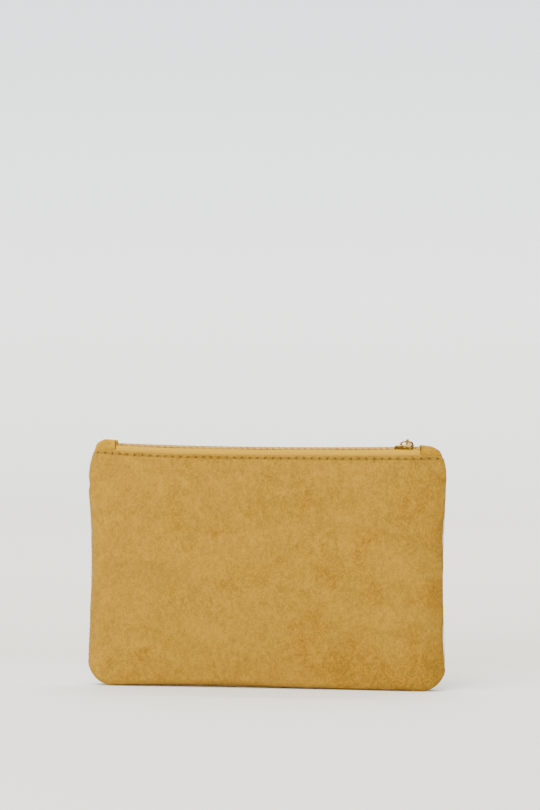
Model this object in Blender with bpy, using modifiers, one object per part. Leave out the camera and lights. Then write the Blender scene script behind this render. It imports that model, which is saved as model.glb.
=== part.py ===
"""Zipped faux-suede pouch, about 178 mm wide and 124 mm tall, standing on its flat base.

Frame: X runs along the zip, the front wall faces -Y and +Z is up. The origin is on the floor, under
the middle of the pouch. The front and back walls are mirror images about Y = 0, so each layer of a wall
is made by one function that takes the side, FRONT or BACK.
"""

import math

import bmesh
import bpy

MM = 0.001
FRONT, BACK = -1, 1

# Outline of the sewn pouch, seen from the front
HALF_WIDTH = 90.0 * MM
WAIST = 1.4 * MM  # how far each side draws in at half height
TOP_EDGE = 115.8 * MM  # height of the suede's top edge in the middle
TOP_RISE = {-1: 2.4 * MM, 1: 0.6 * MM}  # how much higher that edge is at its left and right end
SHOULDER_START = 104 * MM  # above this the sides draw in towards the zip's ends
SHOULDER_HEIGHT = 15 * MM
SHOULDER_INSET = 3.0 * MM
CORNER = {-1: 16.0 * MM, 1: 12.5 * MM}  # bottom corner radius on the left and on the right

# Section through the walls
SEAM_DEPTH = 0.5 * MM  # half of the gap in which the closing seam lies
BASE_DEPTH = 4.8 * MM  # half of the flat base
CREASE = 3.0 * MM  # radius between the base and a wall
FOOT_DEPTH = BASE_DEPTH + CREASE
TOP_DEPTH = 5.2 * MM  # half of the pouch's thickness at the suede's top edge
BULGE = 2.2 * MM
SIDE_ROLL = 22 * MM  # distance from a side seam in which a wall reaches its full depth
ROLL_POWER = 2.2
EDGE_SHARE = 0.04

# Layers of a wall: distance in from the suede's face, and thickness
SUEDE_THICK = 1.0 * MM
INTERLINING_OFFSET = 1.65 * MM
INTERLINING_THICK = 0.35 * MM
LINING_OFFSET = 2.5 * MM
LINING_THICK = 0.3 * MM
INTERLINING_DROP = 9.0 * MM  # how far below the suede's top edge the layer ends
LINING_DROP = 4.6 * MM

# Rows and columns of a wall's surface
COLUMNS = 24
CREASE_ROWS = 3
WALL_ROWS = 9

# Zip chain
CHAIN_HEIGHT = 119.4 * MM  # centre of the coils in the middle of the zip
CHAIN_RISE = {-1: 1.3 * MM, 1: 0.8 * MM}  # how much higher the coils are at the left and right end
CHAIN_REACH = 75 * MM
COIL_RADIUS = 0.85 * MM
COIL_SPACING = 1.0 * MM  # from the middle plane to a coil's centre where the coils mesh
COIL_SPREAD = 0.75 * MM  # how much further out each coil is in front of the slider's wedge
COIL_ENDS = (-72.2 * MM, 73.7 * MM)
COIL_POINTS = 48
TAPE_THICK = 0.4 * MM
TAPE_REACH = 75.0 * MM
TAPE_OFFSET = 1.6 * MM  # behind the suede's face, where the interlining lies further down
TAPE_HIDDEN = 8.0 * MM
TAPE_UNDER_COIL = 1.15 * MM  # from a coil's centre down to the tape it is sewn on
TAPE_INNER = 0.65 * MM  # from a coil's centre in to the tape's edge
TAPE_COLUMNS = 24
TAPE_HIDDEN_ROWS = 2
TAPE_ROOF_ROWS = 5

# Slider, in its own place at the closed end of the zip
SLIDER_X = 68.9 * MM
SLIDER_LENGTH = 9.5 * MM
SLIDER_CORNER = 1.4 * MM
SLIDER_TAIL = 2.8 * MM  # half width at the tail
SLIDER_NOSE = 3.5 * MM  # half width at the nose, where the coils part
SLIDER_WALL = 0.65 * MM
SLIDER_CHANNEL = 1.05 * MM  # from the coils' centre up to the top plate
SLIDER_PLATE = 0.8 * MM
SLIDER_LIP = 0.45 * MM  # how far below the coils' centre the side lips reach
KEEL_TOP = 2.1 * MM  # from the coils' centre down to the bottom plate
KEEL_THICK = 0.7 * MM
KEEL_HALF = 2.0 * MM
KEEL_SHORTER = 1.0 * MM  # than the top plate
KEEL_CORNER = 1.2 * MM
WEDGE_HALF = 0.5 * MM
WEDGE_BLUNT = 0.1 * MM  # half width of the wedge's tip
WEDGE_TIP = 0.6 * MM  # the wedge's three places along the slider, from its middle
WEDGE_WIDE = 2.6 * MM
WEDGE_BACK = 4.3 * MM
WEDGE_ROOT = 0.2 * MM  # how far the wedge reaches into the plates it joins
CUT_MARGIN = 1.0 * MM  # how far a cutter reaches past what it cuts
BAIL_RADIUS = 0.45 * MM
BAIL_HEIGHT = 3.5 * MM  # from the coils' centre up to the bail bar's centre
BAIL_START = -1.6 * MM
BAIL_END = 4.2 * MM
BAIL_SHOULDER = 1.2 * MM  # radius of its two bends
BAIL_STEPS = 3

# Link through the bail, and the pull tab that hangs on its far end
LINK_X = SLIDER_X + 1.3 * MM
LINK_RADIUS = 1.05 * MM  # of its two round ends, to the wire's centre
LINK_WIRE = 0.4 * MM
LINK_LENGTH = 8.9 * MM  # between the centres of its two ends
LINK_STEPS = 8
PULL_LENGTH = 27 * MM
PULL_HALF_TOP = 1.5 * MM
PULL_HALF_END = 2.7 * MM
PULL_HALF_THICK = 0.35 * MM
PULL_EYE = 0.6 * MM
PULL_RIM = 1.15 * MM
PULL_CORNER = 1.3 * MM

# Trim
THREAD_RADIUS = 0.2 * MM
THREAD_GAP = 0.15 * MM
STITCH_DROP = 1.0 * MM  # from the suede's top edge down to the row of stitches
STITCH_PITCH = 3.96 * MM
STITCH_REACH = 85.5 * MM
SEAM_INSET = 0.6 * MM
SEAM_TOP = 110 * MM
SEAM_STEPS = 7
STOP_LENGTH = 1.5 * MM
STOP_EDGE = 0.3 * MM
STOP_SHARE = 0.75  # a top stop's width beside that of the coil it closes
TAB_HALF_THICK = 1.25 * MM
TAB_EDGE = 0.45 * MM
TAB_LOW = 112.9 * MM
TAB_OUTER = 85.0 * MM
TAB_CHAMFER = 3.4 * MM
TAB_CORNER = 0.9 * MM
GAP = 0.3 * MM

SUEDE = ("suede", (0.53, 0.32, 0.085), 0.95, 0.0)
INTERLINING = ("interlining", (0.80, 0.79, 0.76), 0.95, 0.0)
LINING = ("lining", (0.60, 0.45, 0.24), 0.8, 0.0)
TAPE = ("zip_tape", (0.64, 0.43, 0.17), 0.75, 0.0)
COIL = ("nylon_coil", (0.66, 0.47, 0.22), 0.45, 0.0)
THREAD = ("thread", (0.42, 0.25, 0.07), 0.7, 0.0)
GOLD = ("gold_metal", (0.83, 0.62, 0.27), 0.25, 1.0)


def clear_scene():
    for old in list(bpy.data.objects):
        bpy.data.objects.remove(old, do_unlink=True)


def new_collection(name, hidden=False):
    made = bpy.data.collections.new(name)
    made.hide_render = hidden
    bpy.context.scene.collection.children.link(made)
    return made


def finish_of(look):
    name, colour, roughness, metallic = look
    if name in bpy.data.materials:
        return bpy.data.materials[name]
    made = bpy.data.materials.new(name)
    made.use_nodes = True
    shader = made.node_tree.nodes["Principled BSDF"]
    shader.inputs["Base Color"].default_value = (*colour, 1.0)
    shader.inputs["Roughness"].default_value = roughness
    shader.inputs["Metallic"].default_value = metallic
    return made


def add_piece(name, data, look):
    """A visible sub-part with its own material."""
    data.materials.clear()
    data.materials.append(finish_of(look))
    piece = bpy.data.objects.new(name, data)
    POUCH.objects.link(piece)
    return piece


# ---- shape of a wall -------------------------------------------------------


def side_of(x):
    return -1 if x < 0 else 1


def half_width_at(z):
    """Half of the pouch's width at a height: waisted in the middle, drawn in at the shoulders."""
    waist = WAIST * math.sin(math.pi * min(z / TOP_EDGE, 1.0)) ** 2
    shoulder = max(z - SHOULDER_START, 0.0) / SHOULDER_HEIGHT
    return HALF_WIDTH - waist - SHOULDER_INSET * shoulder**2


def waisted(x, z):
    return x * half_width_at(z) / HALF_WIDTH


def top_edge(x):
    return TOP_EDGE + TOP_RISE[side_of(x)] * abs(x / HALF_WIDTH) ** 3


def bottom_edge(x, offset):
    """Height of a layer's bottom at x: level along the base, then round the corner arc."""
    radius = CORNER[side_of(x)]
    beyond = max(abs(x) - (HALF_WIDTH - radius), 0.0)
    return radius - math.sqrt(max((radius - offset) ** 2 - beyond**2, 0.0))


def side_share(x, offset):
    """How much of its full depth a wall has reached at x, rounding over from the side seam."""
    inside = max(HALF_WIDTH - offset - abs(x), 0.0)
    along = min(inside / (SIDE_ROLL - offset), 1.0)
    return max((1 - (1 - along) ** ROLL_POWER) ** (1 / ROLL_POWER), EDGE_SHARE)


def full_depth(z, offset):
    share = (z - CREASE) / (TOP_EDGE - CREASE)
    straight = FOOT_DEPTH + (TOP_DEPTH - FOOT_DEPTH) * share
    return straight + BULGE * math.sin(math.pi * min(max(share, 0.0), 1.0)) - offset


def rolled(depth, x, offset):
    return SEAM_DEPTH + (depth - SEAM_DEPTH) * side_share(x, offset)


def wall_depth(x, z, offset):
    return rolled(full_depth(z, offset), x, offset)


def wall_point(x, row, offset, drop):
    """Depth and height of a layer at x: row 0 is its bottom seam, then the base, crease and wall."""
    low = bottom_edge(x, offset)
    foot = low + CREASE - offset
    if row == 0:
        return SEAM_DEPTH, low
    if row <= CREASE_ROWS + 1:
        angle = math.pi / 2 * (row - 1) / CREASE_ROWS
        depth = BASE_DEPTH + (full_depth(foot, offset) - BASE_DEPTH) * math.sin(angle)
        return rolled(depth, x, offset), foot - (CREASE - offset) * math.cos(angle)
    share = (row - CREASE_ROWS - 1) / WALL_ROWS
    z = foot + (top_edge(x) - drop - foot) * share
    return wall_depth(x, z, offset), z


def shaped_grid(name, columns, rows, place, side):
    """A grid whose points are moved to place(u, row), with u from -1 to 1, facing out on its side."""
    sheet = bmesh.new()
    bmesh.ops.create_grid(sheet, x_segments=columns, y_segments=rows, size=1.0)
    for vertex in sheet.verts:
        row = round((vertex.co.y + 1) / 2 * rows)
        x, depth, z = place(vertex.co.x, row)
        vertex.co = (x, side * depth, z)
    if side == BACK:
        bmesh.ops.reverse_faces(sheet, faces=sheet.faces[:])
    for face in sheet.faces:
        face.smooth = True
    data = bpy.data.meshes.new(name)
    sheet.to_mesh(data)
    sheet.free()
    return data


def thicken(piece, thickness):
    shell = piece.modifiers.new("Thickness", "SOLIDIFY")
    shell.thickness = thickness
    shell.offset = -1.0


def wall_layer(name, side, offset, thickness, drop, look):
    reach = HALF_WIDTH - offset

    def place(u, row):
        x = reach * math.sin(math.pi / 2 * u)
        depth, z = wall_point(x, row, offset, drop)
        return waisted(x, z), depth, z

    rows = 1 + CREASE_ROWS + WALL_ROWS
    layer = add_piece(name, shaped_grid(name, COLUMNS, rows, place, side), look)
    thicken(layer, thickness)


# ---- zip -------------------------------------------------------------------


def chain_height(x):
    return CHAIN_HEIGHT + CHAIN_RISE[side_of(x)] * (x / CHAIN_REACH) ** 2


def smooth_step(low, high, value):
    share = min(max((value - low) / (high - low), 0.0), 1.0)
    return share * share * (3 - 2 * share)


def coil_y(x):
    """Distance of a coil's centre from the middle plane: the coils part round the slider's wedge."""
    wedge_tip = SLIDER_X - 1.5 * MM
    wedge_back = SLIDER_X + 2.5 * MM
    return COIL_SPACING + COIL_SPREAD * smooth_step(wedge_tip, wedge_back, x)


def zip_tape(name, side):
    """Woven tape: sewn behind the suede's top edge, then arching over to its coil."""

    def place(u, row):
        x = TAPE_REACH * u
        edge = top_edge(x)
        if row <= TAPE_HIDDEN_ROWS:
            z = edge - TAPE_HIDDEN * (1 - row / TAPE_HIDDEN_ROWS)
            return x, wall_depth(x, z, TAPE_OFFSET), z
        angle = math.pi / 2 * (row - TAPE_HIDDEN_ROWS) / TAPE_ROOF_ROWS
        inner = coil_y(x) - TAPE_INNER
        outer = wall_depth(x, edge, TAPE_OFFSET)
        rise = chain_height(x) - TAPE_UNDER_COIL - edge
        return x, inner + (outer - inner) * math.cos(angle), edge + rise * math.sin(angle)

    rows = TAPE_HIDDEN_ROWS + TAPE_ROOF_ROWS
    tape = add_piece(name, shaped_grid(name, TAPE_COLUMNS, rows, place, side), TAPE)
    thicken(tape, TAPE_THICK)


def tube(name, points, radius, look, resolution=1, closed=False):
    """A round bar along a line of points."""
    path = bpy.data.curves.new(name, "CURVE")
    path.dimensions = "3D"
    path.bevel_depth = radius
    path.bevel_resolution = resolution
    path.use_fill_caps = not closed
    line = path.splines.new("POLY")
    line.points.add(len(points) - 1)
    for place, point in zip(line.points, points):
        place.co = (*point, 1.0)
    line.use_cyclic_u = closed
    line.use_smooth = True
    return add_piece(name, path, look)


def zip_coil(name, side):
    """The outer shape of one nylon coil."""
    start, end = COIL_ENDS
    points = []
    for i in range(COIL_POINTS + 1):
        x = start + (end - start) * i / COIL_POINTS
        points.append((x, side * coil_y(x), chain_height(x)))
    tube(name, points, COIL_RADIUS, COIL)


# ---- flat outlines ---------------------------------------------------------


def rounded(corners, radius, steps=4):
    """The outline with each corner replaced by a curve that leaves its sides at the given distance."""
    points = []
    for i, corner in enumerate(corners):
        before, after = corners[i - 1], corners[(i + 1) % len(corners)]
        start = towards(corner, before, radius)
        end = towards(corner, after, radius)
        for k in range(steps + 1):
            share = k / steps
            first = towards_share(start, corner, share)
            second = towards_share(corner, end, share)
            points.append(towards_share(first, second, share))
    return points


def towards_share(start, end, share):
    return tuple(a + (b - a) * share for a, b in zip(start, end))


def towards(corner, other, distance):
    return towards_share(corner, other, distance / math.dist(corner, other))


def circle(centre, radius, steps=12):
    angles = [2 * math.pi * i / steps for i in range(steps)]
    return [(centre[0] + radius * math.cos(a), centre[1] + radius * math.sin(a)) for a in angles]


def flat_plate(name, outlines, half_thickness, look, edge=0.0):
    """A filled outline, with any holes, extruded to both sides; edge is the radius of its rims."""
    shape = bpy.data.curves.new(name, "CURVE")
    shape.dimensions = "2D"
    shape.fill_mode = "BOTH"
    shape.extrude = half_thickness - edge
    shape.bevel_depth = edge
    shape.bevel_resolution = 1
    shape.offset = -edge
    for outline in outlines:
        line = shape.splines.new("POLY")
        line.points.add(len(outline) - 1)
        for place, (x, y) in zip(line.points, outline):
            place.co = (x, y, 0.0, 1.0)
        line.use_cyclic_u = True
    return add_piece(name, shape, look)


def as_mesh(piece):
    """The same piece as a closed mesh, for a Boolean."""
    bpy.context.view_layer.update()
    graph = bpy.context.evaluated_depsgraph_get()
    data = bpy.data.meshes.new_from_object(piece.evaluated_get(graph))
    body = bmesh.new()
    body.from_mesh(data)
    bmesh.ops.remove_doubles(body, verts=body.verts[:], dist=1e-7)
    bmesh.ops.recalc_face_normals(body, faces=body.faces[:])
    body.to_mesh(data)
    body.free()
    name, place = piece.name, piece.matrix_world.copy()
    look = piece.data.materials[0]
    bpy.data.objects.remove(piece)
    data.materials.clear()
    data.materials.append(look)
    solid = bpy.data.objects.new(name, data)
    solid.matrix_world = place
    POUCH.objects.link(solid)
    return solid


def combine(piece, operation, other):
    """Adds the other piece to this one, or cuts it away, and puts the other among the cutters."""
    step = piece.modifiers.new(other.name, "BOOLEAN")
    step.operation = operation
    step.object = other
    POUCH.objects.unlink(other)
    CUTTERS.objects.link(other)
    other.hide_render = True
    other.display_type = "WIRE"


# ---- slider, link and pull -------------------------------------------------


def slider_outline(tail, nose, length, radius):
    half = length / 2
    corners = [(-half, -tail), (half, -nose), (half, nose), (-half, tail)]
    return rounded(corners, radius)


def slider_slab(name, outline, low, high):
    """One flat part of the slider, between two heights measured from the coils' centre."""
    slab = flat_plate(name, [outline], (high - low) / 2, GOLD)
    slab.location = (SLIDER_X, 0.0, chain_height(SLIDER_X) + (low + high) / 2)
    return as_mesh(slab)


def slider():
    top = SLIDER_CHANNEL + SLIDER_PLATE
    cover = slider_outline(SLIDER_TAIL, SLIDER_NOSE, SLIDER_LENGTH, SLIDER_CORNER)
    body = slider_slab("zip_slider", cover, -SLIDER_LIP, top)

    past = SLIDER_LENGTH / 2 + CUT_MARGIN
    channel = [
        (-past, -(SLIDER_TAIL - SLIDER_WALL)),
        (past, -(SLIDER_NOSE - SLIDER_WALL)),
        (past, SLIDER_NOSE - SLIDER_WALL),
        (-past, SLIDER_TAIL - SLIDER_WALL),
    ]
    opening = slider_slab("channel_cutter", channel, -SLIDER_LIP - CUT_MARGIN, SLIDER_CHANNEL)
    combine(body, "DIFFERENCE", opening)

    keel = slider_outline(KEEL_HALF, KEEL_HALF, SLIDER_LENGTH - KEEL_SHORTER, KEEL_CORNER)
    combine(body, "UNION", slider_slab("slider_keel", keel, -KEEL_TOP - KEEL_THICK, -KEEL_TOP))

    wedge = [(WEDGE_TIP, -WEDGE_BLUNT), (WEDGE_WIDE, -WEDGE_HALF), (WEDGE_BACK, -WEDGE_HALF)]
    wedge += [(x, -y) for x, y in reversed(wedge)]
    post = slider_slab("slider_wedge", wedge, -KEEL_TOP - WEDGE_ROOT, SLIDER_CHANNEL + WEDGE_ROOT)
    combine(body, "UNION", post)
    combine(body, "UNION", bail())
    body.data.shade_smooth()
    body.data.set_sharp_from_angle(angle=math.radians(35))


def bail():
    """The bridge along the top of the slider that carries the link."""
    floor = SLIDER_CHANNEL + SLIDER_PLATE / 2
    bend = []
    for i in range(BAIL_STEPS + 1):
        angle = math.pi / 2 * i / BAIL_STEPS
        across = BAIL_SHOULDER * (1 - math.cos(angle))
        bend.append((across, BAIL_HEIGHT - BAIL_SHOULDER * (1 - math.sin(angle))))
    profile = [(BAIL_START, floor)]
    profile += [(BAIL_START + across, height) for across, height in bend]
    profile += [(BAIL_END - across, height) for across, height in reversed(bend)]
    profile.append((BAIL_END, floor))
    base = chain_height(SLIDER_X)
    points = [(SLIDER_X + x, 0.0, base + z) for x, z in profile]
    return as_mesh(tube("slider_bail", points, BAIL_RADIUS, GOLD, resolution=2))


def bail_height():
    return chain_height(SLIDER_X) + BAIL_HEIGHT


def pull_link():
    """A long wire link round the bail bar, lying out over the back tape."""
    points = []
    for start, centre in ((math.pi / 2, 0.0), (-math.pi / 2, LINK_LENGTH)):
        for i in range(LINK_STEPS + 1):
            angle = start + math.pi * i / LINK_STEPS
            points.append((0.0, centre + LINK_RADIUS * math.cos(angle), LINK_RADIUS * math.sin(angle)))
    link = tube("pull_link", points, LINK_WIRE, GOLD, resolution=2, closed=True)
    link.location = (LINK_X, 0.0, bail_height())


def pull_tab():
    """A flat metal pull that hangs by its eye from the link's far end."""
    low = -PULL_LENGTH
    corners = [
        (-PULL_HALF_TOP, PULL_RIM),
        (-PULL_HALF_END, low),
        (PULL_HALF_END, low),
        (PULL_HALF_TOP, PULL_RIM),
    ]
    outline = rounded(corners, PULL_CORNER)
    tab = flat_plate("pull_tab", [outline, circle((0.0, 0.0), PULL_EYE)], PULL_HALF_THICK, GOLD)
    tab.rotation_euler = (math.pi / 2, 0.0, 0.0)
    tab.location = (LINK_X, LINK_LENGTH, bail_height() - LINK_RADIUS)


# ---- zip ends --------------------------------------------------------------


def end_tab(name, side, inner, peak, fall):
    """A folded suede patch over one end of the zip, held between the walls' top edges."""
    corners = [
        (side * inner, TAB_LOW),
        (side * inner, peak),
        (side * (TAB_OUTER - TAB_CHAMFER), peak - fall),
        (side * TAB_OUTER, peak - fall - TAB_CHAMFER),
        (side * TAB_OUTER, TAB_LOW),
    ]
    outline = rounded(corners, TAB_CORNER, steps=3)
    tab = flat_plate(name, [outline], TAB_HALF_THICK, SUEDE, edge=TAB_EDGE)
    tab.rotation_euler = (math.pi / 2, 0.0, 0.0)


def zip_stop(name, x, y, half_y):
    """A crimped metal stop in line with the coils."""
    bpy.ops.mesh.primitive_cube_add(size=1.0)
    cube = bpy.context.object
    data = cube.data
    bpy.data.objects.remove(cube)
    for vertex in data.vertices:
        vertex.co.x *= STOP_LENGTH
        vertex.co.y *= 2 * half_y
        vertex.co.z *= 2 * COIL_RADIUS
    stop = add_piece(name, data, GOLD)
    stop.location = (x, y, chain_height(x))
    edges = stop.modifiers.new("Edges", "BEVEL")
    edges.width = STOP_EDGE
    edges.segments = 2


# ---- threads ---------------------------------------------------------------


def topstitch(name, side):
    """The row of stitches along the suede's top edge, as one thread lying on it."""
    half_count = int(STITCH_REACH / STITCH_PITCH)
    points = []
    for i in range(-half_count, half_count + 1):
        x = i * STITCH_PITCH
        z = top_edge(x) - STITCH_DROP
        depth = wall_depth(x, z, 0.0) + THREAD_RADIUS + THREAD_GAP
        points.append((waisted(x, z), side * depth, z))
    tube(name, points, THREAD_RADIUS, THREAD, resolution=0)


def seam_path():
    """The closing seam, down one side, along the base and up the other, inside the outline."""
    points = []
    for side in (-1, 1):
        radius = CORNER[side]
        fall = (SEAM_TOP - radius) / SEAM_STEPS
        leg = [(HALF_WIDTH - SEAM_INSET, SEAM_TOP - fall * i) for i in range(SEAM_STEPS)]
        for i in range(SEAM_STEPS + 1):
            angle = math.pi / 2 * i / SEAM_STEPS
            reach = radius - SEAM_INSET
            leg.append((HALF_WIDTH - radius + reach * math.cos(angle), radius - reach * math.sin(angle)))
        points.append([(side * waisted(x, z), 0.0, z) for x, z in leg])
    left, right = points
    return left + right[::-1]


def build():
    for side, word in ((FRONT, "front"), (BACK, "back")):
        wall_layer(f"{word}_suede_panel", side, 0.0, SUEDE_THICK, 0.0, SUEDE)
        wall_layer(
            f"{word}_interlining", side, INTERLINING_OFFSET, INTERLINING_THICK, INTERLINING_DROP, INTERLINING
        )
        wall_layer(f"{word}_lining", side, LINING_OFFSET, LINING_THICK, LINING_DROP, LINING)
        zip_tape(f"{word}_zip_tape", side)
        zip_coil(f"{word}_zip_coil", side)
        topstitch(f"{word}_topstitch", side)
        stop_x = COIL_ENDS[1] + GAP + STOP_LENGTH / 2
        zip_stop(f"{word}_top_stop", stop_x, side * coil_y(stop_x), STOP_SHARE * COIL_RADIUS)
    zip_stop("bottom_stop", COIL_ENDS[0] - GAP - STOP_LENGTH / 2, 0.0, COIL_SPACING + COIL_RADIUS)
    end_tab("left_end_tab", -1, inner=75.4 * MM, peak=123.4 * MM, fall=0.4 * MM)
    end_tab("right_end_tab", 1, inner=76.4 * MM, peak=122.0 * MM, fall=1.4 * MM)
    tube("closing_seam_thread", seam_path(), THREAD_RADIUS, THREAD, resolution=0)
    slider()
    pull_link()
    pull_tab()


clear_scene()
POUCH = new_collection("zipped_pouch")
CUTTERS = new_collection("cutters", hidden=True)
build()
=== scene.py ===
"""The looks of the zipped suede pouch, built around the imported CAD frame.

X runs along the zip, the front wall faces -Y, +Z is up; everything is in metres.
"""

import math

import bpy
import bmesh
import numpy as np
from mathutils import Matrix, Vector


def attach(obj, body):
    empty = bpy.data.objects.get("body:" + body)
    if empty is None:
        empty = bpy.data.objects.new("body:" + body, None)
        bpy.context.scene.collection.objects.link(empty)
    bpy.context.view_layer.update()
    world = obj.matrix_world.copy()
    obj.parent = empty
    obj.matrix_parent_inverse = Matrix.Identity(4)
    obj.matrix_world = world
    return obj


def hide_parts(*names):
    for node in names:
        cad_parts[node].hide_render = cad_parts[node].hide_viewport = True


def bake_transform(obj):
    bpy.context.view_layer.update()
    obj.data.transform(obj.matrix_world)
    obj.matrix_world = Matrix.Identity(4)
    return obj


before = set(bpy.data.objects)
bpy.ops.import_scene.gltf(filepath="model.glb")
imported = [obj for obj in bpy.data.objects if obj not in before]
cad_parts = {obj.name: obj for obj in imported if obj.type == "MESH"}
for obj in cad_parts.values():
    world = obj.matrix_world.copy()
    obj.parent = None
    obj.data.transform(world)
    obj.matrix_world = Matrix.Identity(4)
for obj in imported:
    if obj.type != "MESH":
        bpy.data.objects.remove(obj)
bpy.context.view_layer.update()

MM = 0.001
FRONT, BACK = -1, 1
NEARLY = 1e-6

# ---- dimensions, most of them the CAD's own ----

HALF_WIDTH = 90.3 * MM  # the turned seam's fullness stands a little proud of the CAD solid
WAIST = 1.4 * MM
TOP_EDGE = 115.8 * MM
TOP_RISE = {-1: 2.4 * MM, 1: 0.6 * MM}
TOP_CORNER_START = 0.955  # share of the half width
TOP_CORNER_FALL = 2.6 * MM
SHOULDER_START = 104 * MM
SHOULDER_HEIGHT = 15 * MM
SHOULDER_INSET = 3.0 * MM
CORNER = {-1: 14.0 * MM, 1: 12.5 * MM}
SEAM_DEPTH = 0.015 * MM  # the walls all but touch here: the CAD keeps a gap for its thread
SEAM_HIGH = 113 * MM  # the closing seam's thread ends here, just under the end tabs
BASE_DEPTH = 4.8 * MM
CREASE = 3.0 * MM
FOOT_DEPTH = BASE_DEPTH + CREASE
TOP_DEPTH = 5.2 * MM
BULGE = 2.2 * MM
BASE_LIFT = 1.2 * MM
BASE_LIFT_X = -25 * MM
BASE_LIFT_REACH = 42 * MM
SIDE_ROLL = 22 * MM
ROLL_POWER = 2.2
EDGE_SHARE = 0.002
SUEDE_THICK = 1.0 * MM
INTERLINING_OFFSET = 1.65 * MM
INTERLINING_THICK = 0.35 * MM
LINING_OFFSET = 2.5 * MM
LINING_THICK = 0.3 * MM
INTERLINING_DROP = 9.0 * MM
LINING_DROP = 4.6 * MM
INNER_SPACING = 2.2 * MM
CHAIN_HEIGHT = 119.4 * MM
CHAIN_RISE = {-1: 1.3 * MM, 1: 0.8 * MM}
CHAIN_REACH = 75 * MM
COIL_RADIUS = 0.85 * MM
COIL_SPACING = 1.0 * MM
COIL_SPREAD = 0.75 * MM
COIL_ENDS = (-72.2 * MM, 73.7 * MM)
COIL_TAILS = (-76.2 * MM, 77.2 * MM)  # the coils run on through their stops into the end tabs
TAPE_THICK = 0.4 * MM
TAPE_REACH = {-1: 76.6 * MM, 1: 77.6 * MM}  # past the coils the tape runs on into the end tabs
TAPE_OFFSET = 1.6 * MM
TAPE_HIDDEN = 8.0 * MM
TAPE_UNDER_COIL = 0.5 * MM
TAPE_INNER = 0.65 * MM
TAPE_CREST = 0.85 * MM
TAPE_RIPPLE = 0.06 * MM
TAPE_SLACK = 0.1 * MM
TAPE_SPACING = 0.8 * MM
TAB_HALF_THICK = 0.75 * MM
TAB_LOW = 114.2 * MM
TACK_COUNT = 3
TACK_PITCH = 1.5 * MM
TACK_RADIUS = 0.24 * MM
TACK_INSET = 0.85 * MM
TACK_DROP = 0.55 * MM
TACK_PROUD = 0.16 * MM
TACK_SINK = 0.3 * MM
TAB_TAPER = 2.4 * MM  # how much thicker half a tab is at its inner edge, over the zip, than at its outer
# The tops of the end tabs, from their inner to their outer edges
TAB_CRESTS = {
    "left": [
        (-75.4 * MM, 123.2 * MM),
        (-82.4 * MM, 123.6 * MM),
        (-86.2 * MM, 121.6 * MM),
        (-87.8 * MM, 117.0 * MM),
    ],
    "right": [
        (76.4 * MM, 122.1 * MM),
        (82.9 * MM, 121.3 * MM),
        (86.6 * MM, 119.3 * MM),
        (88.2 * MM, 116.0 * MM),
    ],
}
SLIDER_X = 68.9 * MM
STITCH_DROP = 1.0 * MM
STITCH_PITCH = 3.96 * MM
STITCH_REACH = 87.2 * MM
STITCH_RADIUS = 0.2 * MM
STITCH_PROUD = 0.24 * MM
STITCH_SINK = 0.5 * MM
STITCH_SLANT = 0.05 * MM


# ---- shape functions ----


def pick(values, x):
    """The left or the right value of a pair, by the sign of x."""
    return np.where(np.asarray(x) < 0, values[-1], values[1])


def smooth_step(low, high, value):
    share = np.clip((value - low) / (high - low), 0.0, 1.0)
    return share * share * (3 - 2 * share)


def half_width_at(z):
    waist = WAIST * np.sin(np.pi * np.clip(z / TOP_EDGE, 0.0, 1.0)) ** 2
    shoulder = np.maximum(z - SHOULDER_START, 0.0) / SHOULDER_HEIGHT
    return HALF_WIDTH - waist - SHOULDER_INSET * shoulder**2


def waisted(x, z):
    return x * half_width_at(z) / HALF_WIDTH


def top_edge(x):
    """Height of the suede's top edge, which rounds off where it meets the side seams."""
    share = np.abs(x / HALF_WIDTH)
    corner = np.maximum(share - TOP_CORNER_START, 0.0) / (1 - TOP_CORNER_START)
    return TOP_EDGE + pick(TOP_RISE, x) * share**3 - TOP_CORNER_FALL * corner**2.5


def base_lift(x):
    """How far the soft base's edges arch up off the floor; its seam stays down."""
    return BASE_LIFT * np.exp(-(((x - BASE_LIFT_X) / BASE_LIFT_REACH) ** 2))


def bottom_edge(x, offset):
    radius = pick(CORNER, x)
    beyond = np.maximum(np.abs(x) - (HALF_WIDTH - radius), 0.0)
    return radius - np.sqrt(np.maximum((radius - offset) ** 2 - beyond**2, 0.0)) + base_lift(x)


def side_share(x, offset):
    inside = np.maximum(HALF_WIDTH - offset - np.abs(x), 0.0)
    along = np.minimum(inside / (SIDE_ROLL - offset), 1.0)
    return np.maximum((1 - (1 - along) ** ROLL_POWER) ** (1 / ROLL_POWER), EDGE_SHARE)


def full_depth(z, offset):
    share = (z - CREASE) / (TOP_EDGE - CREASE)
    straight = FOOT_DEPTH + (TOP_DEPTH - FOOT_DEPTH) * share
    return straight + BULGE * np.sin(np.pi * np.clip(share, 0.0, 1.0)) - offset


def rolled(depth, x, offset):
    return SEAM_DEPTH + (depth - SEAM_DEPTH) * side_share(x, offset)


def wall_depth(x, z, offset):
    return rolled(full_depth(z, offset), x, offset)


def chain_height(x):
    return CHAIN_HEIGHT + pick(CHAIN_RISE, x) * (x / CHAIN_REACH) ** 2


def coil_y(x):
    tip, back = SLIDER_X - 1.5 * MM, SLIDER_X + 2.5 * MM
    return COIL_SPACING + COIL_SPREAD * smooth_step(tip, back, x)


# ---- materials ----


def new_material(name):
    made = bpy.data.materials.new(name)
    made.use_nodes = True
    tree = made.node_tree
    return made, tree, tree.nodes["Principled BSDF"]


def feed(socket, value):
    """Sets a socket, or links another node's output into it."""
    if isinstance(value, bpy.types.NodeSocket):
        socket.id_data.links.new(value, socket)
    else:
        socket.default_value = value


def settle(made, **values):
    """Sets the properties of anything, and a node's sockets: those are capitalised, with _ for a space."""
    for key, value in values.items():
        if key[0].isupper():
            feed(made.inputs[key.replace("_", " ")], value)
        else:
            setattr(made, key, value)
    return made


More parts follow.
